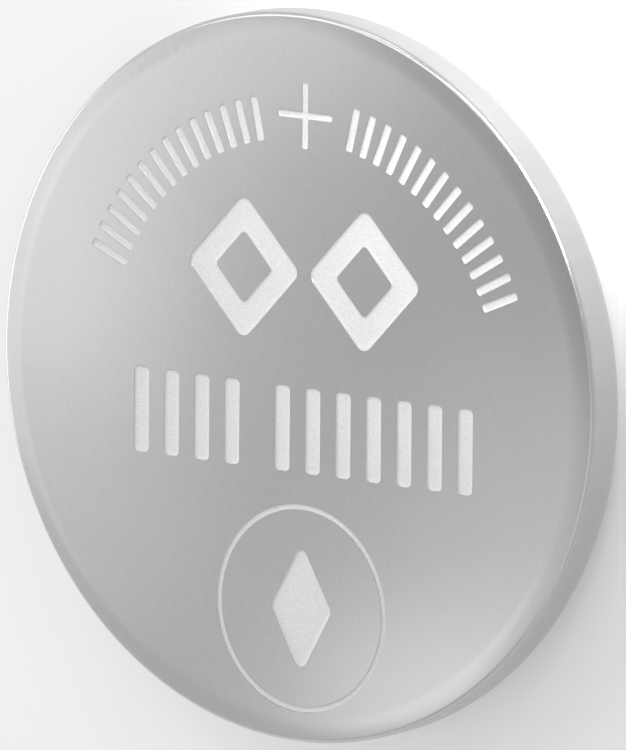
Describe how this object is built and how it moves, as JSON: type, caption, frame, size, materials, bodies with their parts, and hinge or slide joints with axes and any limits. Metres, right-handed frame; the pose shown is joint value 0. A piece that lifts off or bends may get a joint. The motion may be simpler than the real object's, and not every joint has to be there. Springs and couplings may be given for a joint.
{
  "type": "lithium coin cell",
  "caption": "Round flat coin cell: a drawn steel can crimped over a plastic gasket onto a stepped negative cap, with lithium disc, separator and cathode pellet inside.",
  "frame": {"origin": "centre of the negative terminal's flat, on which the cell lies", "axes": "+Z out of the positive face, +Y towards the plus mark on that face, +X to the right of it"},
  "size_m": [0.0244, 0.0244, 0.003],
  "materials": {
    "can_steel": "satin nickel plate, fine straight grain",
    "cap_steel": "satin nickel plate",
    "gasket_plastic": "milky moulded polypropylene",
    "lithium": "dull punched soft metal",
    "separator_fleece": "white non-woven fleece",
    "pellet": "black pressed powder",
    "ring_steel": "plain stainless strip"
  },
  "bodies": {
    "root": {"positive_can": "can_steel", "negative_cap": "cap_steel", "gasket": "gasket_plastic", "lithium_disc": "lithium", "separator": "separator_fleece", "cathode_pellet": "pellet", "cathode_ring": "ring_steel"}
  },
  "joints": []
}
